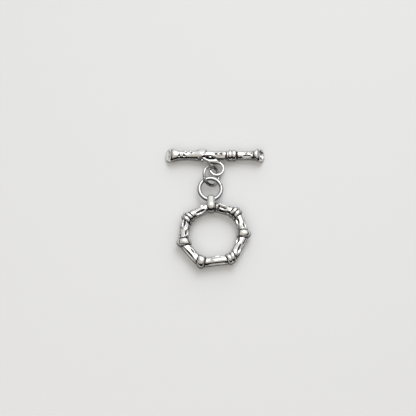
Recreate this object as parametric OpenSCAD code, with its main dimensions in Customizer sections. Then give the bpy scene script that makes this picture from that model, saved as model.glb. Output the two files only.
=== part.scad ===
// Bamboo toggle clasp: a cast ring of seven bamboo stems, a cast bar with a loop, and two jump rings.
// Millimetres. The clasp lies on the plane z = 0 with the bar towards +Y and the ring towards -Y.

/* [Toggle ring] */
// Distance from the middle of the ring to its corners
ring_r = 7.15; // [6.6:0.05:8.5]
// Thickness of a stem of the ring at its waist
stem_d = 2.25; // [1.9:0.05:2.6]
// Swell of a stem towards each knot, on the radius
stem_swell = 0.13; // [0.05:0.01:0.25]
// Thickness across the broadest knot
knot_d = 3.36; // [3:0.02:3.8]
// Width of a knot of one bead
knot_w = 1.8; // [1.4:0.05:2.2]
// Width of each bead of a double knot
bead_w = 1; // [0.8:0.05:1.2]
// Radius of the bend at a corner, on the middle line
bend_r = 2.1; // [1.9:0.05:2.6]

/* [Lug] */
// Bore of the lug's hole
lug_hole_d = 1.3; // [1.2:0.02:1.6]
// Metal around the hole
lug_wall = 0.4; // [0.3:0.02:0.7]
// Width of the lug along the ring
lug_w = 1.75; // [1.2:0.05:1.9]
// Metal left between the middle of the stems and the hole
lug_root = 1.12; // [1.1:0.02:1.5]

/* [Jump rings] */
// Outer diameter of the larger jump ring
ring_link_d = 5.96; // [5.4:0.02:7]
// Wire of the larger jump ring
ring_link_wire = 0.92; // [0.7:0.02:0.96]
// Outer diameter of the smaller jump ring
bar_link_d = 5.1; // [4.7:0.05:6]
// Wire of the smaller jump ring
bar_link_wire = 0.72; // [0.5:0.02:0.9]
// Air between the closed ends of a jump ring
link_slit = 0.05; // [0.02:0.01:0.15]
// Air between two wires where one lies over the other
link_gap = 0.1; // [0.08:0.01:0.2]
// How far two linked rings could still slide apart
link_play = 0.7; // [0.4:0.05:0.9]

/* [Toggle bar] */
// Length of the bar
bar_l = 22.8; // [19:0.1:26]
// Thickness of the bar beside its loop
bar_d = 2.16; // [1.8:0.02:2.4]
// Thickness across the flared ends
flare_d = 3.34; // [3:0.02:3.8]
// Width of the rim around each end
rim_w = 0.95; // [0.7:0.05:1.2]
// Depth of the round edge of the rims and of the bar's beads
rim_round = 0.5; // [0.3:0.02:0.6]
// Slant of the end faces, which look up
end_slant = 22; // [10:1:30]
// Depth of the dish in each end face
dish_depth = 0.3; // [0.15:0.05:0.5]
// Swell of the sheath where it overlaps the thinner stem, on the radius
sheath_swell = 0.27; // [0.15:0.01:0.35]
// Slant of the sheath's edge
sheath_slant = 23; // [10:1:35]
// Thickness across the double knot of the bar
bar_knot_d = 2.86; // [2.6:0.02:3.2]

/* [Bar loop] */
// Outer diameter of the loop that is cast on the bar
loop_d = 3.74; // [3.4:0.02:4.6]
// Thickness of the loop
loop_wire = 0.66; // [0.5:0.02:0.8]
// Distance from the middle of the bar to the middle of the loop
loop_out = 3.22; // [2.9:0.02:3.8]
// Place of the loop along the bar, from the middle
loop_shift = 0.4; // [-1:0.05:1]

/* [Lie] */
// Roll of the bar that lets its loop droop
bar_roll = 3; // [0:0.5:4]
// Rise of the larger jump ring from the lug to its far side
ring_link_rise = 3; // [0:0.5:6]
// Rise of the smaller jump ring's plane towards the bar
bar_link_pitch = 7; // [4:0.5:9]
// Direction from the middle of the smaller jump ring to the middle of the loop
loop_bearing = 57; // [50:1:65]

/* [Hidden] */

$fn = 40;
SILVER = "#c9cccf";
STEEL = "#b9bdc1";

// Knots of the ring, clockwise from the lug: name, bearing from the ring's middle, reach as a share of
// ring_r, number of beads, thickness as a share of knot_d, turn of the beads against the bearing
KNOTS = [
    ["lug",         95,    0.91, 0, 0.76, 0],
    ["upper_right", 43.4,  1.02, 2, 0.94, 6],
    ["right",       -2.3,  0.98, 1, 0.98, 8],
    ["lower_right", -56.1, 1.03, 2, 0.88, -10],
    ["lower_left",  -112.6, 1.06, 1, 0.98, 10],
    ["left",        -161.2, 1.01, 1, 1,    -4],
    ["upper_left",  148.3, 1,    2, 0.94, -5],
];

// Beads of the bar's double knot: place as a share of bar_l from the middle, width as a share of
// bar_l, thickness as a share of bar_knot_d
BAR_BEADS = [
    [0.124, 0.022, 0.9],
    [0.155, 0.044, 0.98],
    [0.197, 0.03,  1],
];

// Dents of the bar: place as a share of bar_l from the middle, angle from the top towards the loop,
// length as a share of bar_l, width and depth as shares of bar_d
BAR_DENTS = [
    [-0.328, 6,   0.08,  0.3,  0.07],
    [-0.262, -27, 0.082, 0.2,  0.058],
    [0.042,  -6,  0.085, 0.22, 0.06],
    [0.346,  -16, 0.09,  0.2,  0.05],
    [0.333,  27,  0.092, 0.26, 0.06],
];

// Sides of the ring's stems, and sections along a stem and across a bead
RING_SIDES = 16;
STEM_STEPS = 6;
KNOT_STEPS = 6;
// Steps along the outline of a stem of the bar, around the edge of a bead and along a dent
CANE_STEPS = 12;
BEAD_STEPS = 8;
DENT_STEPS = 6;
// How quickly a stem's swell fades away from its end
SWELL_POWER = 4;
// Cut pieces run past the metal by this much
PAST = 3;
// Dishes are cut this much past the face
CUT_OVER = 0.01;

// The stems at the ends of the bar are thicker than the one beside the loop, and stop short of the rim
LEFT_STEM_MORE = 0.12;
RIGHT_STEM_MORE = 0.06;
LEFT_RIM_STEP = 0.1;
RIGHT_RIM_STEP = 0.11;
// Swell of the bar's stems beside the double knot, on the radius
KNOT_SWELL = 0.04;
// Places of the stem's end under the sheath and of the sheath's edge, as shares of bar_l
TAIL = -0.15;
SHEATH_EDGE = -0.121;
// Width of a dish at its foot and of the pit in its middle, as shares of the dish's width
DISH_FOOT = 0.8;
DISH_PIT = 0.25;
// Size of the neck's balls at the loop and at the bar, as shares of loop_wire
NECK_AT_LOOP = 0.8;
NECK_AT_BAR = 1.5;

// Radius of a stem at the share u of its length
function cane_radius(u, d, swell_a, swell_b) =
    d / 2 + swell_a * pow(1 - u, SWELL_POWER) + swell_b * pow(u, SWELL_POWER);

// Corner of the ring, where the middle lines of its stems meet
function knot_at(i) = let (k = KNOTS[i % len(KNOTS)]) ring_r * k[2] * [cos(k[1]), sin(k[1])];
function bearing(v) = atan2(v[1], v[0]);
function dir(angle) = [cos(angle), sin(angle)];

// The stem from knot i to the next, and the clockwise bend at knot i
function stem_bearing(i) = bearing(knot_at(i + 1) - knot_at(i));
function bend_at(i) = (stem_bearing(i + len(KNOTS) - 1) - stem_bearing(i) + 360) % 360;
function bend_half(i) = bend_r * bend_at(i) / 2 * PI / 180;
function bend_cut(i) = bend_r * tan(bend_at(i) / 2);

// Distance along the middle line from knot i to the next
function knot_step(i) = norm(knot_at(i + 1) - knot_at(i)) - bend_cut(i) - bend_cut(i + 1)
    + bend_half(i) + bend_half(i + 1);

// Half the width of knot i along the middle line
function knot_half(i) = let (beads = KNOTS[i % len(KNOTS)][3])
    beads == 0 ? lug_w / 2 : beads == 1 ? knot_w / 2 : bead_w;

// Point of the middle line at the distance s after knot i, with the bearing there
function along(i, s) = let (
        half = bend_half(i),
        on_bend = max(-half, min(half, s)),
        angle = stem_bearing(i) + bend_at(i) / 2 - on_bend / bend_r * 180 / PI,
        centre = knot_at(i) + bend_cut(i) * dir(stem_bearing(i)) - bend_r * dir(stem_bearing(i) + 90),
        at = centre + bend_r * dir(angle + 90) + (s - on_bend) * dir(angle)
    ) [at[0], at[1], angle];

// Radius of a bead's round back at the distance s from its middle, over the stem's swollen end
function bead_back(s, w, rise) =
    stem_end + rise * sqrt(max(0, 1 - pow(2 * s / w, 2)));

// Radius of the ring at the distance s from the middle of knot i
function knot_radius(i, s) = let (k = KNOTS[i], rise = k[4] * knot_d / 2 - stem_end)
    k[3] == 0 ? stem_end :
    k[3] == 1 ? bead_back(s, knot_w, rise) :
    bead_back(abs(s) - bead_w / 2, bead_w, rise);

// Sections of the ring, clockwise: x, y, bearing of the section, radius
function knot_sections(i) = let (n = KNOT_STEPS * max(1, KNOTS[i][3]), half = knot_half(i))
    [for (j = [0:n]) let (s = half * (2 * j / n - 1), p = along(i, s))
        [p[0], p[1], p[2] + KNOTS[i][5], knot_radius(i, s)]];
function stem_sections(i) = let (
        from = knot_half(i),
        length = knot_step(i) - from - knot_half(i + 1),
        lean_a = KNOTS[i][5],
        lean_b = KNOTS[(i + 1) % len(KNOTS)][5]
    )
    [for (j = [1:STEM_STEPS - 1]) let (u = j / STEM_STEPS, p = along(i, from + u * length))
        [
            p[0],
            p[1],
            p[2] + lean_a * pow(1 - u, 2) + lean_b * pow(u, 2),
            cane_radius(u, stem_d, stem_swell, stem_swell)
        ]];

// Radius of a ring's stem at its ends
stem_end = stem_d / 2 + stem_swell;

// Middle heights of the ring and the bar, which lie on their broadest knots and rims
ring_z = knot_d / 2;
rim_edge = rim_w / 2;
bar_z = (flare_d / 2 - rim_edge) * cos(end_slant) + rim_edge;

// The lug's hole lies straight out from its corner
lug_at = knot_at(0);
lug_reach = lug_root + lug_hole_d / 2;
hole_at = [lug_at[0], lug_at[1] + lug_reach];

// The larger jump ring passes through the hole and rises a little towards the bar. Its wire keeps the
// same air to both walls of the hole: its inside comes nearest at the far edge of the lug, its outside
// in the middle.
ring_link_r = (ring_link_d - ring_link_wire) / 2;
ring_link_shift = -0.028 * ring_link_d;
lug_edge = lug_w / 2 - ring_link_shift;
wire_inside = sqrt(pow(ring_link_d / 2 - ring_link_wire, 2) - pow(lug_edge, 2));
ring_link_at = [
    hole_at[0] + ring_link_shift,
    hole_at[1] + (ring_link_d / 2 + wire_inside) / 2 * cos(ring_link_rise),
    ring_z + ring_link_r * sin(ring_link_rise)
];

// The smaller jump ring leans: its left side lies over the larger ring and over the loop, and its
// right side under both. Its lean follows from the wires that have to pass each other.
bar_link_r = (bar_link_d - bar_link_wire) / 2;
loop_r = (loop_d - loop_wire) / 2;
wire_reach = (bar_link_wire + loop_wire) / 2;
// Its radius as seen from above towards the loop, at about the lean that it takes
lean_guess = 39;
seen_r = 1 / sqrt(pow(cos(loop_bearing) / (bar_link_r * cos(lean_guess)), 2)
    + pow(sin(loop_bearing) / bar_link_r, 2));
// Distance between the middles of the smaller jump ring and the loop
loop_play = 0.77 * link_play;
loop_far = seen_r + loop_r - wire_reach - loop_play;
// Half the distance between the two places where their wires cross
cross_foot = (pow(loop_far, 2) + pow(loop_r, 2) - pow(seen_r, 2)) / (2 * loop_far);
cross_half = sqrt(pow(loop_r, 2) - pow(cross_foot, 2));
// The wires cross aslant, so the lean is this much steeper than for wires that cross square
slant_share = 1.46;
bar_link_lean = atan((wire_reach + link_gap) * slant_share / cross_half);

bar_link_shift = 0.04 * bar_link_d;
bar_link_y = ring_link_at[1] + ring_link_r + bar_link_r
    - (ring_link_wire + bar_link_wire) / 2 - link_play;
loop_xy = [ring_link_at[0] + bar_link_shift, bar_link_y]
    + loop_far * [cos(loop_bearing), sin(loop_bearing)];
loop_z = bar_z - loop_out * sin(bar_roll);
// The smaller ring's plane passes the loop's plane halfway between the two crossings, and it hangs a
// little lower, so that both crossings keep the same air
bar_link_sink = 0.07 * bar_link_wire;
cross_mid = (loop_far - cross_foot) * [cos(loop_bearing), sin(loop_bearing)];
bar_link_at = [
    ring_link_at[0] + bar_link_shift,
    bar_link_y,
    loop_z + cross_mid[0] * tan(bar_link_lean) - cross_mid[1] * tan(bar_link_pitch) - bar_link_sink
];

// Middle of the bar
bar_at = [loop_xy[0] - loop_shift, loop_xy[1] + loop_out * cos(bar_roll), bar_z];

// The origin lies under the middle of the clasp's box
low_y = min([for (i = [0:len(KNOTS) - 1]) along(i, 0)[1] - KNOTS[i][4] * knot_d / 2]);
middle = [bar_at[0], (bar_at[1] + flare_d / 2 + low_y) / 2, 0];

// A bamboo stem along +Z, thinnest in its middle
module cane(len, d, swell_a, swell_b) {
    rotate_extrude()
        polygon([
            [0, 0],
            for (i = [0:CANE_STEPS])
                [cane_radius(i / CANE_STEPS, d, swell_a, swell_b), len * i / CANE_STEPS],
            [0, len]
        ]);
}

// A bead around the Z axis, filled, with a round edge
module bead(d, w) {
    rotate_extrude()
        polygon([
            [0, -w / 2],
            for (i = [0:BEAD_STEPS])
                let (t = -90 + 180 * i / BEAD_STEPS)
                    [d / 2 - rim_round + rim_round * cos(t), w / 2 * sin(t)],
            [0, w / 2]
        ]);
}

// A spindle along Z, pointed at both ends, that cuts a dent or stands up as a bud
module spindle(len, w) {
    rotate_extrude()
        polygon([
            for (i = [0:DENT_STEPS])
                let (u = i / DENT_STEPS)
                    [w / 2 * (1 - pow(2 * u - 1, 2)), len * (u - 0.5)]
        ]);
}

// Puts a spindle on the surface of a stem along +Z, sunk by the depth, at an angle from +X
module on_stem(place, around, radius, len, w, depth) {
    rotate([0, 0, around])
        translate([radius + w / 2 - depth, 0, place])
            spindle(len, w);
}

// The seven stems and their knots, swept as one closed tube
module ring_tube() {
    sections = [
        for (i = [0:len(KNOTS) - 1])
            each concat(knot_sections(i), stem_sections(i))
    ];
    points = [
        for (p = sections, j = [0:RING_SIDES - 1])
            let (around = 360 * j / RING_SIDES, out = p[3] * cos(around))
                [
                    p[0] + out * cos(p[2] + 90),
                    p[1] + out * sin(p[2] + 90),
                    p[3] * sin(around)
                ]
    ];
    count = len(sections);
    faces = [
        for (i = [0:count - 1], j = [0:RING_SIDES - 1])
            let (
                next_i = (i + 1) % count * RING_SIDES,
                next_j = (j + 1) % RING_SIDES,
                this_i = i * RING_SIDES
            )
                each [
                    [this_i + j, next_i + j, next_i + next_j],
                    [this_i + j, next_i + next_j, this_i + next_j]
                ]
    ];
    polyhedron(points, faces);
}

// The lug: a strap around the top corner that reaches out around its hole
module lug() {
    translate([lug_at[0], lug_at[1], ring_z])
        rotate([0, 90, 0])
            hull() {
                bead(KNOTS[0][4] * knot_d, lug_w, $fn = 24);
                translate([0, lug_reach, 0])
                    bead(lug_hole_d + 2 * lug_wall, lug_w, $fn = 24);
            }
}

module toggle_ring() {
    color(SILVER)
        translate(-middle)
            difference() {
                union() {
                    translate([0, 0, ring_z])
                        ring_tube();
                    lug();
                }
                translate([hole_at[0], hole_at[1], ring_z])
                    rotate([0, 90, 0])
                        cylinder(d = lug_hole_d, h = lug_w + 2 * PAST, center = true);
            }
}

// A jump ring around the Z axis, bent from round wire, with its closed slit at the bearing turn
module jump_ring(outer_d, wire, turn) {
    r = (outer_d - wire) / 2;
    slit = 2 * asin(link_slit / 2 / r);
    rotate([0, 0, turn + slit / 2])
        rotate_extrude(angle = 360 - slit, $fn = 72)
            translate([r, 0])
                circle(d = wire, $fn = 24);
}

module ring_link() {
    color(STEEL)
        translate(ring_link_at - middle)
            rotate([ring_link_rise, 0, 0])
                jump_ring(ring_link_d, ring_link_wire, 20);
}

module bar_link() {
    color(STEEL)
        translate(bar_link_at - middle)
            rotate([bar_link_pitch, bar_link_lean, 0])
                jump_ring(bar_link_d, bar_link_wire, 200);
}

// A slanted end of the bar at +X: a round rim with a dished face that looks up
module bar_end() {
    slant_out = (flare_d / 2 - rim_round) * sin(end_slant);
    translate([bar_l / 2 - slant_out - rim_edge, 0, 0])
        rotate([0, 90 - end_slant, 0])
            children();
}

module rims() {
    for (side = [0, 1])
        mirror([side, 0, 0])
            bar_end()
                bead(flare_d, rim_w);
}

module dishes() {
    dish_d = flare_d - 2 * rim_round;
    for (side = [0, 1])
        mirror([side, 0, 0])
            bar_end() {
                translate([0, 0, rim_edge - dish_depth])
                    cylinder(d1 = dish_d * DISH_FOOT, d2 = dish_d, h = dish_depth + CUT_OVER);
                translate([0, 0, rim_edge - 2 * dish_depth])
                    cylinder(d = dish_d * DISH_PIT, h = PAST);
            }
}

// The left stem of the bar ends in a sheath, cut off aslant, that overlaps the thinner stem
module bar_sheath() {
    edge = SHEATH_EDGE * bar_l;
    spread = bar_d / 2 * tan(sheath_slant) + sheath_swell;
    start = -bar_l / 2 + rim_w;
    stem = bar_d + LEFT_STEM_MORE;
    flare = flare_d / 2 - LEFT_RIM_STEP - stem / 2;
    difference() {
        translate([start, 0, 0])
            rotate([0, 90, 0])
                cane(edge + spread - start, stem, flare, sheath_swell);
        translate([edge, 0, 0])
            rotate([0, 0, -sheath_slant])
                translate([0, -PAST, -PAST])
                    cube([PAST, 2 * PAST, 2 * PAST]);
    }
}

// The right stems of the bar, before and after the double knot
module bar_stems() {
    knot = BAR_BEADS[1][0] * bar_l;
    tail = TAIL * bar_l;
    far = bar_l / 2 - rim_w;
    stem = bar_d + RIGHT_STEM_MORE;
    flare = flare_d / 2 - RIGHT_RIM_STEP - stem / 2;
    translate([tail, 0, 0])
        rotate([0, 90, 0])
            cane(knot - tail, bar_d, 0, KNOT_SWELL);
    translate([knot, 0, 0])
        rotate([0, 90, 0])
            cane(far - knot, stem, KNOT_SWELL, flare);
}

module bar_knot() {
    for (b = BAR_BEADS)
        translate([b[0] * bar_l, 0, 0])
            rotate([0, 90, 0])
                bead(b[2] * bar_knot_d, b[1] * bar_l);
}

module bar_dents() {
    rotate([0, 90, 0])
        for (dent = BAR_DENTS)
            on_stem(
                dent[0] * bar_l,
                180 + dent[1],
                (bar_d + RIGHT_STEM_MORE) / 2,
                dent[2] * bar_l,
                dent[3] * bar_d,
                dent[4] * bar_d
            );
}

// The loop below the bar, with the neck that joins them on its left
module bar_loop() {
    translate([loop_shift, -loop_out, 0])
        rotate_extrude($fn = 48)
            translate([loop_r, 0])
                circle(d = loop_wire, $fn = 24);
    hull() {
        translate([loop_shift - loop_r * 0.95, -loop_out + loop_r * 0.75, 0])
            sphere(d = loop_wire * NECK_AT_LOOP, $fn = 16);
        translate([loop_shift - loop_r * 0.8, -bar_d / 2, 0])
            sphere(d = loop_wire * NECK_AT_BAR, $fn = 16);
        translate([loop_shift + loop_r * 0.35, -loop_out + loop_r * 1.1, 0])
            sphere(d = loop_wire * NECK_AT_LOOP, $fn = 16);
    }
}

module toggle_bar() {
    color(SILVER)
        translate(bar_at - middle)
            rotate([bar_roll, 0, 0])
                difference() {
                    union() {
                        bar_sheath();
                        bar_stems();
                        bar_knot();
                        rims();
                        bar_loop();
                    }
                    dishes();
                    bar_dents();
                }
}

toggle_ring();
toggle_bar();
ring_link();
bar_link();
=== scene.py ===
"""Looks of a bamboo toggle clasp: cast ring, cast bar and two jump rings on paper, in soft daylight.

Shapes are worked out in millimetres around their own middles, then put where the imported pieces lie.
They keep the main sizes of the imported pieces, and add relief, soft edges and the shape of the dishes.
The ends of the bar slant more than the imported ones, and the lug is a little wider and thicker."""

import math

import bmesh
import bpy
import numpy as np
from mathutils import Matrix, Vector


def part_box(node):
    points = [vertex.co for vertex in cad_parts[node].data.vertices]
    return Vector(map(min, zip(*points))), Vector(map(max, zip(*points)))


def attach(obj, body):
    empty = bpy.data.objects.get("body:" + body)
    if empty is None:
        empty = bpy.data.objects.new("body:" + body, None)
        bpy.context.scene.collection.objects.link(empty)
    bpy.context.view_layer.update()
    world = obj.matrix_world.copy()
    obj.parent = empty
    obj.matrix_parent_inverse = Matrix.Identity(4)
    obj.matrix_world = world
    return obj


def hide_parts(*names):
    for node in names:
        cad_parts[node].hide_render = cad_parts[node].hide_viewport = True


# A millimetre in the metres of the frame
MM = 0.001

# Ring: distance to its corners, radius of its stems, and their swell beside a knot, which comes late
RING_R = 7.15
STEM_R = 1.125
STEM_SWELL = 0.13
SWELL_POWER = 4
# Radius of the broadest knot, width of a knot of one bead, width of each bead of a double knot
KNOT_R = 1.68
KNOT_W = 1.8
BEAD_W = 1.0
# The beads of a double knot are this many times as wide as they are apart, so that they meet
BEAD_OVER = 1.015
# A bead's back is a little flatter on top than a circle, whose power is 2
BEAD_POWER = 2.3
# Radius of the bend at a corner
BEND_R = 2.1

# Knots clockwise from the lug: bearing from the ring's middle, reach as a share of RING_R, number of
# beads, thickness as a share of KNOT_R, turn of the beads against the bearing
KNOTS = [
    (95.0, 0.91, 0, 0.97, 0),
    (43.4, 1.02, 2, 0.94, 2),
    (-2.3, 0.98, 1, 0.98, 5),
    (-56.1, 1.03, 2, 0.88, -12),
    (-112.6, 1.06, 1, 0.98, 10),
    (-161.2, 1.01, 1, 1.0, -8),
    (148.3, 1.0, 2, 0.94, -4),
]

# Lug around the first knot: its width, how far its crowned back falls at the sides, the wall around
# its hole, the radius of the hole, and the distance from the knot's middle to the hole
LUG_W = 1.86
LUG_CROWN = 0.6
LUG_CROWN_POWER = 2.2
LUG_WALL = 0.4
LUG_HOLE_R = 0.65
LUG_ROOT = 1.12
# The rod that cuts the hole reaches this far to both sides
HOLE_REACH = 2

# Bar: length, radius beside its loop, radius of its flared ends
BAR_L = 22.8
BAR_R = 1.08
FLARE_R = 1.67
# Length of the flare at the left and the right end, its power, and the share of its length by which it
# would go on past the start of the rim, so that it meets the rim at a slope
FLARE_REACH = (3.4, 2.0)
FLARE_POWER = 1.5
FLARE_PAST = 0.1
# Rim around an end, and the slant of the end's face, which starts to turn this far from the rim
RIM_W = 0.95
RIM_ROUND = 0.52
END_SLANT = 32
SLANT_REACH = 2.8
# Taken off the rim's radius where its lean is worked out, so that the end keeps to the bar's length
RIM_KEEP = 0.35
# The left stem is this much thicker than BAR_R. The right one gets thicker between these places.
LEFT_MORE = 0.06
RIGHT_MORE = 0.03
RIGHT_MORE_AT = (3, 5)
# Sheath: place of its edge as a share of BAR_L, its swell and the length of that, the slant of its edge
# and the reach of the slant, and where the step down starts and ends, counted from the edge
SHEATH_EDGE = -0.121
SHEATH_SWELL = 0.27
SHEATH_REACH = 3.2
SHEATH_SLANT = 30
SHEATH_SLANT_W = 0.9
SHEATH_FALL = (-0.2, 0.8)
# Radius of the bar's knot, and how far the bar is rolled about its length
BAR_KNOT_R = 1.43
BAR_ROLL = 3

# Dishes: the left one's depth, and from where to where it gets deeper, inwards from the lip
DISH_DEPTH = 0.48
LEFT_DISH = 0.28 * DISH_DEPTH
LEFT_DISH_AT = (-0.05, 0.7)
# The right one's depth and the width of its wall, its ring's height, radius and width, and its pit's
# depth and radius. Heights and depths are shares of DISH_DEPTH.
RIGHT_DISH = (1.3, 0.18)
RIGHT_DISH_RING = (1.1, 0.64, 0.14)
RIGHT_DISH_PIT = (0.6, 0.3)

# Loop beside the bar: radius of its middle line, radius of its wire, distance from the bar's middle,
# place along the bar
LOOP_R = 1.54
LOOP_WIRE_R = 0.33
LOOP_OUT = 3.22
LOOP_SHIFT = 0.4

# Beads of the bar's knot, a thin one and two broad ones: place and width as shares of BAR_L, thickness
# as a share of BAR_KNOT_R
BAR_BEADS = [
    (0.1245, 0.02, 0.92),
    (0.151, 0.044, 1.0),
    (0.191, 0.049, 1.0),
]

# Grooves across the bar: millimetres from its middle, shift on the side away from the loop, depth
BAR_GROOVES = [
    (2.6, 0.16, 0.14),
    (5.02, -0.08, 0.24),
    (9.2, 0.0, 0.16),
]

# Grooves beside the beads of the ring: their depth. Grooves of both castings: half their width.
GROOVE_DEEP = 0.1
GROOVE_W = 0.13

# A stem is flatter than it is wide by this share, and what stands up from it by this much is round
FLAT = 0.06
FLAT_FADE = 0.5

# The sections lie parallel over this share of a knot's half width, and let go over this length
TURN_HOLD = 0.75
TURN_FADE = 1.4

# Jump rings: radius of the wire, radius of the middle line, bearing of the slit
LINKS = {
    "ring_link": (0.46, 2.52, 20),
    "bar_link": (0.36, 2.19, 200),
}
LINK_SLIT = 0.05
# One end of the wire springs up past the other by this much
LINK_SPRING = 0.03

# The lip that a dent pushes up: its height as a share of the dent, its place and its spread
LIP_SHARE = 0.35
LIP_AT = 1.15
LIP_SPREAD = 0.06

# Marks of the bark on the ring: stem after which knot, share along it, angle from the top towards the
# outside, length, width, height (a dent is negative), turn on the surface
RING_MARKS = [
    (0, 0.46, 6, 2.3, 1.0, -0.3, 6),
    (0, 0.50, 84, 2.6, 0.5, -0.2, 0),
    (0, 0.74, -44, 1.5, 0.8, -0.26, 0),
    (0, 0.22, -6, 0.8, 2.8, 0.2, 12),
    (0, 0.31, -6, 0.45, 2.2, -0.22, 12),
    (0, 0.33, 66, 2.2, 1.8, 0.28, 0),
    (1, 0.40, -30, 2.0, 0.8, -0.3, 0),
    (1, 0.66, 24, 1.3, 0.6, -0.26, 0),
    (1, 0.55, 74, 2.6, 0.5, -0.2, 0),
    (2, 0.34, -30, 1.6, 0.7, -0.28, 0),
    (2, 0.58, 26, 2.2, 0.8, -0.3, -6),
    (2, 0.80, 70, 1.6, 0.6, -0.2, 0),
    (3, 0.42, -46, 2.0, 0.5, -0.2, 0),
    (3, 0.62, 2, 1.2, 0.4, 0.08, 8),
    (3, 0.5, 16, 6.0, 1.8, 0.16, 0),
    (4, 0.50, -14, 1.7, 0.5, -0.2, 4),
    (4, 0.50, 42, 4.2, 0.8, -0.24, 0),
    (5, 0.72, 14, 1.8, 0.8, -0.3, 4),
    (5, 0.36, -20, 1.4, 0.7, -0.28, 0),
    (5, 0.48, 62, 2.0, 0.6, -0.2, 0),
    (6, 0.70, 40, 1.2, 0.7, -0.28, 0),
    (6, 0.54, -20, 2.4, 0.8, -0.3, 0),
    (6, 0.40, -64, 1.4, 0.6, 0.12, 0),
]

# Marks of the bark on the bar: millimetres from its middle, angle from the top towards the loop,
# length, width, height, turn on the surface
BAR_MARKS = [
    (-8.4, 15, 0.8, 0.55, -0.22, 8),
    (-7.05, 16, 0.8, 0.55, -0.24, -8),
    (-7.7, 4, 1.5, 0.3, -0.1, 0),
    (-6.6, -22, 0.8, 0.4, -0.18, 0),
    (-5.45, -18, 0.8, 0.45, -0.2, 12),
    (-3.5, 76, 1.8, 1.6, 0.2, 0),
    (-2.35, 34, 0.6, 0.7, -0.28, 20),
    (-1.15, 40, 2.5, 1.1, -0.26, -6),
    (-1.1, 40, 0.95, 0.45, 0.34, -6),
    (-3.2, -72, 2.6, 1.6, 0.2, 0),
    (-2.3, -44, 1.3, 0.3, -0.16, -24),
    (1.6, 62, 3.4, 1.4, 0.16, 0),
    (0.22, -3, 0.75, 0.5, -0.3, 0),
    (1.36, -3, 0.85, 0.5, -0.3, 0),
    (7.15, -12, 0.7, 0.4, -0.22, 0),
    (8.5, -12, 0.9, 0.4, -0.22, 0),
    (7.4, 25, 2.2, 0.7, -0.16, 0),
    (7.4, 27, 1.5, 0.28, 0.1, 0),
]

# Balls of the neck between the bar and its loop: millimetres along, across and above the bar's middle,
# with the loop's side negative, and radius. Each row is one rounded web.
NECK = [
    [(-2.4, -1.0, 0.42, 0.3), (-1.35, -1.5, 0.42, 0.44)],
    [(-1.35, -1.5, 0.42, 0.44), (-1.1, -2.35, 0.05, 0.36)],
    [(-1.35, -1.5, 0.42, 0.44), (0.3, -1.4, 0.25, 0.44), (0.85, -1.85, 0.05, 0.36)],
    [(-3.0, -1.25, 0.16, 0.36), (-3.0, -0.6, 0.1, 0.36)],
]

# Spacing of the mesh lines along the castings, and lines around them
SECTION_STEP = 0.068
AROUND = 112
# Rows across a rim, and across a dish from the step inside the rim to the small hole left in its middle
RIM_ROWS = 12
DISH_ROWS = 24
DISH_STEP = 0.05
DISH_HUB = 0.004
# Mesh lines across and around the lug, around its hole, and along and around the loop and the links
LUG_ROWS = 33
LUG_AROUND = 160
HOLE_ROWS = 5
HOLE_AROUND = 64
LOOP_STEPS = 96
LOOP_AROUND = 36
LINK_STEPS = 144
LINK_AROUND = 40

# Creases sharper than this angle are rounded, over this many points to each side, in so many rounds
CREASE_ANGLE = 32
CREASE_SPREAD = 2
CREASE_ROUNDS = 4
# Loop and neck are melted into even faces of this size, smoothed in so many rounds
WAX_CELL = 0.055
WAX_ROUNDS = 8


def direction(degrees):
    """Unit vector at a bearing, counted from +X."""
    a = math.radians(degrees)
    return np.array([math.cos(a), math.sin(a)])


# Middle line of the ring


def knot_at(i):
    """Corner of knot i, where the middles of its two stems would meet."""
    bearing, reach = KNOTS[i % len(KNOTS)][:2]
    return RING_R * reach * direction(bearing)


def stem_bearing(i):
    """Bearing of the stem from knot i to the next."""
    v = knot_at(i + 1) - knot_at(i)
    return math.degrees(math.atan2(v[1], v[0]))


def bend_at(i):
    """Degrees by which the middle line turns at knot i."""
    return (stem_bearing(i - 1) - stem_bearing(i)) % 360


def bend_half(i):
    """Half the length of the bend at knot i."""
    return BEND_R * math.radians(bend_at(i)) / 2


def bend_cut(i):
    """Length that the bend at knot i takes off each of its stems."""
    return BEND_R * math.tan(math.radians(bend_at(i)) / 2)


def knot_step(i):
    """Length of the middle line from knot i to the next."""
    straight = np.linalg.norm(knot_at(i + 1) - knot_at(i)) - bend_cut(i) - bend_cut(i + 1)
    return straight + bend_half(i) + bend_half(i + 1)


def middle_at(i, s):
    """Point of the middle line at the distance s after knot i."""
    half = bend_half(i)
    on_bend = max(-half, min(half, s))
    angle = stem_bearing(i) + bend_at(i) / 2 - math.degrees(on_bend / BEND_R)
    centre = (
        knot_at(i)
        + bend_cut(i) * direction(stem_bearing(i))
        - BEND_R * direction(stem_bearing(i) + 90)
    )
    return centre + BEND_R * direction(angle + 90) + (s - on_bend) * direction(angle)


def ease(x, start, end):
    """Goes smoothly from 0 at the start to 1 at the end."""
    t = np.clip((x - start) / (end - start), 0, 1)
    return t * t * (3 - 2 * t)


def bead_turn(i, s):
    """How far the sections at the distance s from knot i are turned, so that its beads lie parallel."""
    knot = KNOTS[i % len(KNOTS)]
    hold = TURN_HOLD * (KNOT_W / 2 if knot[2] == 1 else BEAD_W)
    away = ease(abs(s), hold, hold + TURN_FADE)
    half = math.copysign(bend_at(i) / 2, s)
    return (half + knot[4]) * (1 - away)


# Mesh tools


def put(name, data):
    """Puts a mesh, a lamp or a lens into the scene."""
    thing = bpy.data.objects.new(name, data)
    bpy.context.scene.collection.objects.link(thing)
    return thing


def piece_from(name, verts, faces):
    """A piece of points and faces, with its faces turned outwards."""
    mesh = bpy.data.meshes.new(name)
    mesh.from_pydata(np.asarray(verts).tolist(), [], faces)
    work = bmesh.new()
    work.from_mesh(mesh)
    bmesh.ops.recalc_face_normals(work, faces=work.faces)
    work.to_mesh(mesh)
    work.free()
    return put(name, mesh)


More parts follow.
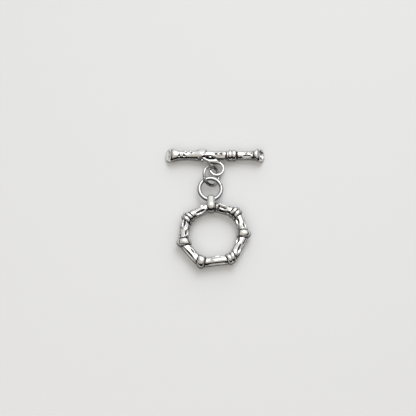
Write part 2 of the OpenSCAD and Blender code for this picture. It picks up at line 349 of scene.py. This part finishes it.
def skin(name, rows, closed=False):
    """A mesh over rows of points: closed on itself, or with both ends filled."""
    rows = np.asarray(rows)
    n, m = rows.shape[:2]
    faces = []
    for i in range(n if closed else n - 1):
        a, b = i * m, (i + 1) % n * m
        faces += [(a + j, a + (j + 1) % m, b + (j + 1) % m, b + j) for j in range(m)]
    if not closed:
        faces += [tuple(range(m)), tuple((n - 1) * m + j for j in range(m))]
    return piece_from(name, rows.reshape(-1, 3), faces)


def hull_of_balls(name, balls):
    """The skin stretched over balls, each given as its middle and its radius."""
    work = bmesh.new()
    for *middle, radius in balls:
        bmesh.ops.create_icosphere(
            work, subdivisions=4, radius=radius, matrix=Matrix.Translation(Vector(middle))
        )
    bmesh.ops.delete(work, geom=list(work.edges) + list(work.faces), context="EDGES_FACES")
    bmesh.ops.convex_hull(work, input=work.verts)
    bmesh.ops.delete(work, geom=[v for v in work.verts if not v.link_faces], context="VERTS")
    bmesh.ops.recalc_face_normals(work, faces=work.faces)
    mesh = bpy.data.meshes.new(name)
    work.to_mesh(mesh)
    work.free()
    return put(name, mesh)


def apply_modifiers(piece):
    """Makes the outcome of a piece's modifiers its mesh."""
    depsgraph = bpy.context.evaluated_depsgraph_get()
    mesh = bpy.data.meshes.new_from_object(piece.evaluated_get(depsgraph))
    piece.modifiers.clear()
    piece.data = mesh


def smooth(work, verts, rounds):
    """Moves points towards the middle of their neighbours."""
    for _ in range(rounds):
        bmesh.ops.smooth_vert(
            work, verts=verts, factor=0.5, use_axis_x=True, use_axis_y=True, use_axis_z=True
        )


def melt(piece):
    """Makes a solid anew from small even faces, and smooths it as a casting of wax is smooth."""
    step = piece.modifiers.new("remesh", "REMESH")
    step.mode = "VOXEL"
    step.voxel_size = WAX_CELL
    apply_modifiers(piece)
    work = bmesh.new()
    work.from_mesh(piece.data)
    smooth(work, work.verts, WAX_ROUNDS)
    work.to_mesh(piece.data)
    work.free()


def combine(piece, other, operation):
    """Casts two solids into one, or cuts the second out of the first."""
    step = piece.modifiers.new(operation, "BOOLEAN")
    step.object = other
    step.operation = operation
    step.solver = "MANIFOLD"
    apply_modifiers(piece)
    bpy.data.objects.remove(other)


def soften(piece):
    """Rounds the creases of a casting: smooths the points around its sharp edges."""
    work = bmesh.new()
    work.from_mesh(piece.data)
    limit = math.radians(CREASE_ANGLE)
    near = set()
    for edge in work.edges:
        if edge.is_manifold and edge.calc_face_angle() > limit:
            near.update(edge.verts)
    for _ in range(CREASE_SPREAD):
        near |= {e.other_vert(v) for v in near for e in v.link_edges}
    smooth(work, list(near), CREASE_ROUNDS)
    work.to_mesh(piece.data)
    work.free()


def note_hollows_and_flanks(piece):
    """Keeps on each point how deep in a hollow and on how steep a flank it lies, for the darkening in
    the hollows and the painted shade on the flanks.
    """
    mesh = piece.data
    count = len(mesh.vertices)
    points, normals = np.empty((count, 3)), np.empty((count, 3))
    mesh.vertices.foreach_get("co", points.ravel())
    mesh.vertices.foreach_get("normal", normals.ravel())
    ends = np.empty(len(mesh.edges) * 2, int)
    mesh.edges.foreach_get("vertices", ends)
    a, b = ends.reshape(-1, 2).T
    links = np.bincount(a, minlength=count) + np.bincount(b, minlength=count)
    flat = points.copy()
    for _ in range(HOLLOW_ROUNDS):
        for axis in range(3):
            near = np.bincount(a, flat[b, axis], count) + np.bincount(b, flat[a, axis], count)
            flat[:, axis] = near / np.maximum(links, 1)
    depth = ((flat - points) * normals).sum(1) / MM
    for name, values in (("hollow", depth), ("flank", 1 - np.abs(normals[:, 2]))):
        layer = mesh.attributes.new(name, "FLOAT", "POINT")
        layer.data.foreach_set("value", values.astype(np.float32))


def smooth_shading(piece):
    piece.data.polygons.foreach_set("use_smooth", [True] * len(piece.data.polygons))


def place(piece, turn, at):
    """Turns a piece modelled in millimetres around its middle, and puts it in the frame in metres."""
    piece.data.transform(Matrix.Scale(MM, 4) @ Matrix.Translation(Vector(at)) @ turn)


# Relief of the stems


def bump(q2):
    """Rounded hump over the square of the distance from its middle, which is 1 at its edge."""
    return np.clip(1 - q2, 0, None) ** 1.5


def mark(along_mm, around_mm, length, width, height, turn):
    """Height of a long mark of the bark, with a low lip around a dent."""
    c, s = direction(turn)
    u = (along_mm * c + around_mm * s) / (length / 2)
    v = (around_mm * c - along_mm * s) / (width / 2)
    q2 = u * u + v * v
    lip = LIP_SHARE * abs(height) * np.exp(-((np.sqrt(q2) - LIP_AT) ** 2) / LIP_SPREAD)
    return height * bump(q2) + (lip if height < 0 else 0)


def bead(s, width, rise):
    """Round back of a bead at the distance s from its middle."""
    q = np.abs(s) / (width / 2)
    return rise * np.clip(1 - q**BEAD_POWER, 0, None) ** 0.5


def groove(s, cut):
    """Depth of a soft groove at the distance s from its middle."""
    return cut * np.exp(-((s / GROOVE_W) ** 2))


def height_of(radius, stem_r):
    """Radius towards the top and the underside, where a stem is a little flatter than it is wide."""
    return radius - FLAT * stem_r * (1 - ease(radius, stem_r, stem_r + FLAT_FADE))


def wrap(angle):
    """The same angle between minus and plus half a turn."""
    return (angle + math.pi) % (2 * math.pi) - math.pi


# Toggle ring


def ring_row(i, s, length, phi):
    """Points of the ring around its middle line, at the distance s after knot i."""
    j = (i + 1) % len(KNOTS)
    u = s / length
    at = middle_at(i, s) if u < 0.5 else middle_at(j, s - length)
    angle = stem_bearing(i) + (bead_turn(i, s) if u < 0.5 else bead_turn(j, s - length))
    # The stems don't swell towards the lug, whose knot is number 0
    swell = STEM_SWELL * ((1 - u) ** SWELL_POWER * (i != 0) + u**SWELL_POWER * (j != 0))
    radius = np.full_like(phi, STEM_R + swell)
    for knot, t in ((i, s), (j, s - length)):
        beads, share = KNOTS[knot][2:4]
        rise = share * KNOT_R - STEM_R - STEM_SWELL
        if beads == 1:
            radius = radius + (bead(t, KNOT_W, rise) - groove(abs(t) - KNOT_W / 2, GROOVE_DEEP))
        if beads == 2:
            backs = [bead(t + side * BEAD_W / 2, BEAD_OVER * BEAD_W, rise) for side in (-1, 1)]
            radius = radius + max(backs) - groove(abs(t) - BEAD_W * (1 + BEAD_OVER) / 2, GROOVE_DEEP)
        if beads == 0:
            radius = radius - groove(abs(t) - LUG_W / 2, GROOVE_DEEP / 2)
    for stem, share, tip, *size in RING_MARKS:
        if stem == i:
            around = wrap(phi - math.radians(90 - tip)) * STEM_R
            radius = radius + mark(s - share * length, around, *size)
    out = direction(angle + 90)
    return np.stack(
        [
            at[0] + radius * np.cos(phi) * out[0],
            at[1] + radius * np.cos(phi) * out[1],
            height_of(radius, STEM_R) * np.sin(phi),
        ],
        1,
    )


def ring_tube():
    """Rows of points all around the ring, clockwise from the lug."""
    phi = np.arange(AROUND) * 2 * math.pi / AROUND
    rows = []
    for i in range(len(KNOTS)):
        length = knot_step(i)
        steps = round(length / SECTION_STEP)
        rows += [ring_row(i, length * k / steps, length, phi) for k in range(steps)]
    return np.array(rows)


def lug():
    """The strap around the top corner, with a crowned back."""
    root_r = KNOTS[0][3] * KNOT_R
    far_r = LUG_HOLE_R + LUG_WALL
    reach = LUG_ROOT + LUG_HOLE_R
    tilt = math.asin((root_r - far_r) / reach)
    x, y = knot_at(0)
    rows = []
    for side in np.linspace(-1, 1, LUG_ROWS):
        inset = LUG_CROWN * (1 - math.sqrt(1 - min(1, abs(side)) ** LUG_CROWN_POWER))
        row = []
        for k in range(LUG_AROUND):
            a = 2 * math.pi * k / LUG_AROUND
            far = abs(wrap(a)) < math.pi / 2 - tilt
            r = (far_r if far else root_r) - inset
            row.append((x + side * LUG_W / 2, y + r * math.cos(a) + reach * far, r * math.sin(a)))
        rows.append(row)
    return skin("lug", rows)


def lug_hole():
    """The rod that leaves the hole in the lug. It runs past both sides."""
    x, y = knot_at(0)
    rows = [
        [
            (x + side, y + LUG_ROOT + LUG_HOLE_R * (1 + math.cos(a)), LUG_HOLE_R * math.sin(a))
            for a in np.arange(HOLE_AROUND) * math.pi / (HOLE_AROUND / 2)
        ]
        for side in np.linspace(-HOLE_REACH, HOLE_REACH, HOLE_ROWS)
    ]
    return skin("hole", rows)


def toggle_ring():
    """The cast ring with its lug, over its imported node."""
    tube = ring_tube()
    ring = skin("toggle_ring_cast", tube, closed=True)
    combine(ring, lug(), "UNION")
    combine(ring, lug_hole(), "DIFFERENCE")
    soften(ring)
    low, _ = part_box("toggle_ring")
    at = (low.x / MM - tube[..., 0].min(), low.y / MM - tube[..., 1].min(), KNOT_R)
    place(ring, Matrix.Identity(4), at)
    return ring


# Toggle bar


def bar_rim():
    """Places and radii along the round edge of an end, from its outside to its face."""
    edge = BAR_L / 2 - RIM_W / 2 - (FLARE_R - RIM_KEEP) * math.sin(math.radians(END_SLANT))
    turns = [direction(a) for a in np.linspace(0, 90, RIM_ROWS)]
    return [(edge + RIM_W / 2 * s, FLARE_R - RIM_ROUND * (1 - c)) for c, s in turns]


def bar_radius(x):
    """Radius of the bar's stems at the distance x from its middle."""
    end = bar_rim()[0][0]
    reach = FLARE_REACH[0] if x < 0 else FLARE_REACH[1]
    opened = ease(abs(x), end - reach, end + FLARE_PAST * reach) ** FLARE_POWER
    flare = (FLARE_R - BAR_R - RIGHT_MORE) * opened
    if x < 0:
        edge = SHEATH_EDGE * BAR_L
        sheath = LEFT_MORE + SHEATH_SWELL * ease(x, edge - SHEATH_REACH, edge)
        return BAR_R + flare + sheath * (1 - ease(x, edge + SHEATH_FALL[0], edge + SHEATH_FALL[1]))
    return BAR_R + flare + RIGHT_MORE * ease(x, *RIGHT_MORE_AT)


def dish_at(r, ringed):
    """Depth of an end's dish at the distance r from its middle. One has a ring between two hollows."""
    lip = FLARE_R - RIM_ROUND
    if not ringed:
        return LEFT_DISH * float(ease(lip - r, *LEFT_DISH_AT))
    deep, wall = RIGHT_DISH
    high, ring_r, ring_w = RIGHT_DISH_RING
    pit, pit_r = RIGHT_DISH_PIT
    ring = high * math.exp(-(((r - ring_r) / ring_w) ** 2))
    hollow = pit * math.exp(-((r / pit_r) ** 2))
    return DISH_DEPTH * (deep * float(ease(lip - r, 0, wall)) - ring + hollow)


def bar_sections():
    """Sections of the bar from left to right: place, tilt towards an end, turn at the sheath's edge,
    and radius, which is left open between the two ends."""
    rim = bar_rim()
    face, inner = rim[-1]
    radii = np.linspace(inner - DISH_STEP, DISH_HUB, DISH_ROWS)
    left, right = [rim + [(face - dish_at(r, ringed), r) for r in radii] for ringed in (False, True)]
    right = [(x, END_SLANT, 0, r) for x, r in right]
    left = [(-x, -END_SLANT, 0, r) for x, r in reversed(left)]
    start = rim[0][0]
    count = round(2 * start / SECTION_STEP)
    edge = SHEATH_EDGE * BAR_L
    middle = []
    for k in range(1, count):
        x = -start + 2 * start * k / count
        tilt = math.copysign(END_SLANT, x) * ease(abs(x), start - SLANT_REACH, start)
        turn = -SHEATH_SLANT * math.exp(-(((x - edge) / SHEATH_SLANT_W) ** 2))
        middle.append((x, tilt, turn, None))
    return left + middle + right


def stem_row(x, phi):
    """Radii around the bar between its ends, with beads, grooves and marks of the bark."""
    r = np.full_like(phi, bar_radius(x))
    for share, width, thickness in BAR_BEADS:
        rise = thickness * BAR_KNOT_R - BAR_R
        r = np.maximum(r, BAR_R + bead(x - share * BAR_L, width * BAR_L, rise))
    for place_x, shift, cut in BAR_GROOVES:
        r = r - groove(x - place_x - shift * np.cos(phi), cut)
    for place_x, tip, *size in BAR_MARKS:
        around = -wrap(phi - math.radians(90 + tip)) * BAR_R
        r = r + mark(x - place_x, around, *size)
    return r


def bar_row(x, tilt, turn, radius, phi):
    """Points around the bar: phi runs from +Y over the top."""
    r = stem_row(x, phi) if radius is None else np.full_like(phi, radius)
    y, z = r * np.cos(phi), height_of(r, BAR_R) * np.sin(phi)
    ct, st = direction(tilt)
    cz, sz = direction(turn)
    return np.stack([x - z * st - y * sz * ct, y * cz, z * ct], 1)


def loop_beside():
    """The flat loop of round wire beside the bar."""
    rows = []
    for k in range(LOOP_STEPS):
        c, s = direction(k * 360 / LOOP_STEPS)
        row = []
        for j in range(LOOP_AROUND):
            cj, sj = direction(j * 360 / LOOP_AROUND)
            r = LOOP_R + LOOP_WIRE_R * cj
            row.append((LOOP_SHIFT + r * c, -LOOP_OUT + r * s, LOOP_WIRE_R * sj))
        rows.append(row)
    return skin("loop", rows, closed=True)


def toggle_bar():
    """The cast bar with its loop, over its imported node."""
    phi = np.arange(AROUND) * 2 * math.pi / AROUND
    bar = skin("toggle_bar_cast", [bar_row(*section, phi) for section in bar_sections()])
    loop = loop_beside()
    for web in NECK:
        combine(loop, hull_of_balls("neck", web), "UNION")
    melt(loop)
    combine(bar, loop, "UNION")
    soften(bar)
    _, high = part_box("toggle_bar")
    rim = RIM_W / 2
    z = (FLARE_R - rim) * math.cos(math.radians(END_SLANT)) + rim
    place(bar, Matrix.Rotation(math.radians(BAR_ROLL), 4, "X"), (0, high.y / MM - FLARE_R, z))
    return bar


# Jump rings


def link_turn(node, wire_r, middle_r):
    """How a jump ring lies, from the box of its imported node: it rises to the left and to the back."""
    low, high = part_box(node)
    half = (high - low) / 2 / MM
    spans = [min(1, max(0, (h - wire_r) / middle_r)) for h in half]
    nx, ny, nz = [math.sqrt(1 - h * h) for h in spans]
    normal = Vector((nx, -ny, nz)).normalized()
    return Vector((0, 0, 1)).rotation_difference(normal).to_matrix().to_4x4(), (high + low) / 2 / MM


def jump_ring(node):
    """A round wire bent into a ring, with its slit pressed nearly shut."""
    wire_r, middle_r, slit_at = LINKS[node]
    half_slit = math.degrees(LINK_SLIT / 2 / middle_r)
    rows = []
    turns = np.linspace(slit_at + half_slit, slit_at + 360 - half_slit, LINK_STEPS + 1)
    for k, a in enumerate(turns):
        c, s = direction(a)
        lift = LINK_SPRING * (k / LINK_STEPS - 0.5)
        row = []
        for j in range(LINK_AROUND):
            cj, sj = direction(j * 360 / LINK_AROUND)
            r = middle_r + wire_r * cj
            row.append((r * c, r * s, wire_r * sj + lift))
        rows.append(row)
    link = skin(node + "_wire", rows)
    turn, at = link_turn(node, wire_r, middle_r)
    place(link, turn, at)
    return link


# Materials

# The darkening in the hollows starts, and is full, this deep below the skin around it in millimetres.
# The painted shade on the flanks, which stands in for the dark reflections low on the sides, starts and
# is full at these steepnesses of a flank, where it never covers more than its share. The haze makes its
# edge ragged.
HOLLOW_DARK_DEPTH = (0.01, 0.045)
PAINTED_SHADE_FLANK = (0.56, 0.76)
PAINTED_SHADE_SHARE = 0.8
PAINTED_SHADE_RAGGED = 0.3
# The darkening in the hollows and the painted shade on the flanks add this to the roughness
SHADE_AND_HOLLOW_ROUGH = 0.1
# Rounds of smoothing that give the skin around a point
HOLLOW_ROUNDS = 36
# Patches of wear: their size in millimetres, and the values of their noise for the least and most wear
HAZE_MM = 1.6
HAZE_SPAN = (0.3, 0.7)
# Tooth of the paper: its size and depth in millimetres
TOOTH_MM = 0.6
TOOTH_DEEP = 0.05


def linear(hex_colour):
    """sRGB hex to the linear colour that the shaders take."""
    parts = [int(hex_colour[i : i + 2], 16) / 255 for i in (1, 3, 5)]
    return tuple(p / 12.92 if p <= 0.04045 else ((p + 0.055) / 1.055) ** 2.4 for p in parts) + (1,)


def add(tree, kind, settings=(), **inputs):
    """Adds a node, with its settings, and with its inputs set to values or linked to sockets."""
    made = tree.nodes.new(kind)
    for key, value in dict(settings).items():
        setattr(made, key, value)
    for key, value in inputs.items():
        numbered = key[0] == "i" and key[1:].isdigit()
        socket = made.inputs[int(key[1:]) if numbered else key.replace("_", " ")]
        if isinstance(value, bpy.types.NodeSocket):
            tree.links.new(value, socket)
        else:
            socket.default_value = value
    return made


def new_material(name):
    """An empty material and its tree of nodes."""
    material = bpy.data.materials.new(name)
    material.use_nodes = True
    tree = material.node_tree
    tree.nodes.clear()
    return material, tree


def silver_plate(name, colour, rough, grain_mm, bump_mm):
    """Silver plate with polished tops. It is darker in the hollows, and painted shade low on the steep
    flanks stands in for the dark reflections there."""
    material, tree = new_material(name)
    point = add(tree, "ShaderNodeTexCoord").outputs["Object"]
    hollow = add(tree, "ShaderNodeAttribute", {"attribute_name": "hollow"}).outputs["Fac"]
    flank = add(tree, "ShaderNodeAttribute", {"attribute_name": "flank"}).outputs["Fac"]
    grain = add(
        tree, "ShaderNodeTexNoise", Vector=point, Scale=1 / (grain_mm * MM), Detail=3.0
    ).outputs[0]
    haze = add(
        tree, "ShaderNodeTexNoise", Vector=point, Scale=1 / (HAZE_MM * MM), Detail=2.0
    ).outputs[0]
    # Darker in the hollows, below the smoothed skin around each point
    low = add(
        tree, "ShaderNodeMapRange", i0=hollow, i1=HOLLOW_DARK_DEPTH[0], i2=HOLLOW_DARK_DEPTH[1], i3=0.0, i4=1.0
    ).outputs[0]
    # Painted shade: steep flanks are darkened, standing in for the dark reflections of the low walls and
    # of the shaded paper beside the piece
    ragged = add(
        tree, "ShaderNodeMath", {"operation": "MULTIPLY_ADD"}, i0=haze, i1=PAINTED_SHADE_RAGGED, i2=flank
    ).outputs[0]
    side = add(
        tree, "ShaderNodeMapRange", i0=ragged, i1=PAINTED_SHADE_FLANK[0], i2=PAINTED_SHADE_FLANK[1], i3=0.0, i4=PAINTED_SHADE_SHARE
    ).outputs[0]
    hollow_dark_and_painted_shade = add(tree, "ShaderNodeMath", {"operation": "MAXIMUM"}, i0=low, i1=side).outputs[0]
    worn = add(
        tree, "ShaderNodeMapRange", i0=haze, i1=HAZE_SPAN[0], i2=HAZE_SPAN[1], i3=rough[0], i4=rough[1]
    ).outputs[0]
    dulled = add(
        tree, "ShaderNodeMath", {"operation": "MULTIPLY_ADD"}, i0=hollow_dark_and_painted_shade, i1=SHADE_AND_HOLLOW_ROUGH, i2=worn
    ).outputs[0]
    # Mixes in the dark colour of the hollows and of the painted shade on the flanks
    tone = add(
        tree, "ShaderNodeMix", {"data_type": "RGBA"}, i0=hollow_dark_and_painted_shade, i6=linear(colour), i7=linear("#1f1c19")
    ).outputs[2]
    relief = add(
        tree, "ShaderNodeBump", Height=grain, Strength=1.0, Distance=bump_mm * MM
    ).outputs[0]
    shader = add(
        tree, "ShaderNodeBsdfPrincipled", Base_Color=tone, Metallic=1.0, Roughness=dulled, Normal=relief
    )
    add(tree, "ShaderNodeOutputMaterial", Surface=shader.outputs[0])
    return material


def cast_silver_plate():
    """Bright plate on a polished casting: near to a mirror, and a little wavy as a casting is."""
    return silver_plate("cast_silver_plate", "#eae9e7", rough=(0.05, 0.1), grain_mm=0.5, bump_mm=0.012)


def drawn_silver_wire():
    """Thin plate on drawn wire, tumbled and not polished: greyer, and with softer lights."""
    return silver_plate("drawn_silver_wire", "#c8c8c8", rough=(0.13, 0.2), grain_mm=0.3, bump_mm=0.004)


def matt_coated_paper():
    """Matt coated paper: an even pale tone without a shine, with a fine tooth."""
    material, tree = new_material("matt_coated_paper")
    point = add(tree, "ShaderNodeTexCoord").outputs["Object"]
    tooth = add(
        tree, "ShaderNodeTexNoise", Vector=point, Scale=1 / (TOOTH_MM * MM), Detail=4.0
    ).outputs[0]
    relief = add(
        tree, "ShaderNodeBump", Height=tooth, Strength=0.3, Distance=TOOTH_DEEP * MM
    ).outputs[0]
    shader = add(
        tree, "ShaderNodeBsdfPrincipled", Base_Color=linear("#d9d9d9"), Roughness=0.75, Normal=relief
    )
    add(tree, "ShaderNodeOutputMaterial", Surface=shader.outputs[0])
    return material


def dress(piece, node, material):
    """Gives a piece its material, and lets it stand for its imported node."""
    smooth_shading(piece)
    note_hollows_and_flanks(piece)
    piece.data.materials.clear()
    piece.data.materials.append(material)
    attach(piece, "root")
    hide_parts(node)


# Paper, light and camera

# Side of the sheet of paper
PAPER_MM = 800

# Camera: distance from the point it looks at, degrees above the horizon, lens, sensor, and that point
CAMERA_MM = 380
CAMERA_UP = 70
LENS_MM = 144.2
SENSOR_MM = 36
LOOK_AT = (-1.591, 0.553, 0)

# Light of the window, a little blue, and light that the room throws back, a little warm, both linear
DAYLIGHT = (0.89, 0.955, 1.0)
WARM_LIGHT = (1.0, 0.965, 0.91)
# Lamps: bearing and height in degrees, distance and width in metres, watts, light, and whether the metal
# mirrors them
LAMPS = {
    "window": (70, 60, 0.35, 0.26, 0.4, DAYLIGHT, True),
    "low_window": (78, 38, 0.35, 0.22, 0.12, DAYLIGHT, False),
    "fill": (-110, 55, 0.5, 0.5, 1.0, WARM_LIGHT, False),
}

# Bearing and height of the room's bright side, the share of a ray along it at which the room is
# dimmest, the glow there, and what the bright side adds
BRIGHT_SIDE = (68, 38)
DIM_FROM = -0.6
DIM_GLOW = 0.22
MORE_GLOW = 0.8
# The dark walls reach up where this direction's share of a ray is small, higher in front than behind,
# their upper edge fades between these shares, and they glow this much
WALLS = (0, 0.3, 1)
WALL_EDGE = (0.36, 0.54)
WALL_GLOW = 0.02


def paper_sheet():
    """The sheet that the clasp lies on."""
    mesh = bpy.data.meshes.new("paper")
    half = PAPER_MM / 2 * MM
    corners = [(-half, -half, 0), (half, -half, 0), (half, half, 0), (-half, half, 0)]
    mesh.from_pydata(corners, [], [(0, 1, 2, 3)])
    mesh.materials.append(matt_coated_paper())
    sheet = put("paper", mesh)


def soft_box(name, bearing, height, distance, width, watts, light, mirrored):
    """A round lamp aimed at the clasp. The metal doesn't mirror one that only fills the shadows."""
    lamp = bpy.data.lights.new(name, "AREA")
    lamp.shape = "DISK"
    lamp.size = width
    lamp.energy = watts
    lamp.color = light
    c, s = direction(bearing)
    ch, sh = direction(height)
    at = Vector((c * ch, s * ch, sh)) * distance
    box = put(name, lamp)
    box.location = at
    box.rotation_euler = (-at).to_track_quat("-Z", "Y").to_euler()
    box.visible_glossy = mirrored


def room():
    """The room around the paper: bright towards the window, dimmer and a little warm on the side away,
    with dark walls below."""
    world = bpy.data.worlds.new("room")
    bpy.context.scene.world = world
    world.use_nodes = True
    tree = world.node_tree
    tree.nodes.clear()
    ray = add(tree, "ShaderNodeTexCoord").outputs["Generated"]
    c, s = direction(BRIGHT_SIDE[0])
    ch, sh = direction(BRIGHT_SIDE[1])
    facing, above = [
        add(tree, "ShaderNodeVectorMath", {"operation": "DOT_PRODUCT"}, i0=ray, i1=way).outputs["Value"]
        for way in ((c * ch, s * ch, sh), WALLS)
    ]
    share = add(tree, "ShaderNodeMapRange", i0=facing, i1=DIM_FROM, i2=1.0, i3=0.0, i4=1.0).outputs[0]
    wall = add(
        tree, "ShaderNodeMapRange", i0=above, i1=WALL_EDGE[0], i2=WALL_EDGE[1], i3=WALL_GLOW, i4=1.0
    ).outputs[0]
    open_glow = add(
        tree, "ShaderNodeMath", {"operation": "MULTIPLY_ADD"}, i0=share, i1=MORE_GLOW, i2=DIM_GLOW
    ).outputs[0]
    glow = add(tree, "ShaderNodeMath", {"operation": "MULTIPLY"}, i0=open_glow, i1=wall).outputs[0]
    warm, white = linear("#e8dccd"), linear("#ffffff")
    tint = add(
        tree, "ShaderNodeMix", {"data_type": "RGBA"}, i0=share, i6=warm, i7=white
    ).outputs[2]
    light = add(tree, "ShaderNodeBackground", Color=tint, Strength=glow)
    add(tree, "ShaderNodeOutputWorld", Surface=light.outputs[0])


def camera():
    """The camera in front, high above the clasp."""
    lens = bpy.data.cameras.new("camera")
    lens.lens = LENS_MM
    lens.sensor_width = SENSOR_MM
    lens.clip_start = 0.01
    lens.clip_end = 10
    holder = put("camera", lens)
    c, s = direction(CAMERA_UP)
    back = Vector((0, -c, s))
    holder.location = (Vector(LOOK_AT) + back * CAMERA_MM) * MM
    holder.rotation_euler = (-back).to_track_quat("-Z", "Y").to_euler()
    bpy.context.scene.camera = holder


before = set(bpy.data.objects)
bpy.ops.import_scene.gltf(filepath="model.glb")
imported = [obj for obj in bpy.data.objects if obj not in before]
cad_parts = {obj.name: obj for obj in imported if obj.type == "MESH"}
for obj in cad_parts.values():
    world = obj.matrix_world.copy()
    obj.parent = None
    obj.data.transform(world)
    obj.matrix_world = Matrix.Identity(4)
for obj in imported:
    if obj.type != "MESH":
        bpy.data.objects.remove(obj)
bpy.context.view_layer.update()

cast_plate = cast_silver_plate()
wire_plate = drawn_silver_wire()
dress(toggle_ring(), "toggle_ring", cast_plate)
dress(toggle_bar(), "toggle_bar", cast_plate)
for node in LINKS:
    dress(jump_ring(node), node, wire_plate)

paper_sheet()
room()
for name, setup in LAMPS.items():
    soft_box(name, *setup)
camera()
bpy.context.scene.view_settings.view_transform = "Standard"
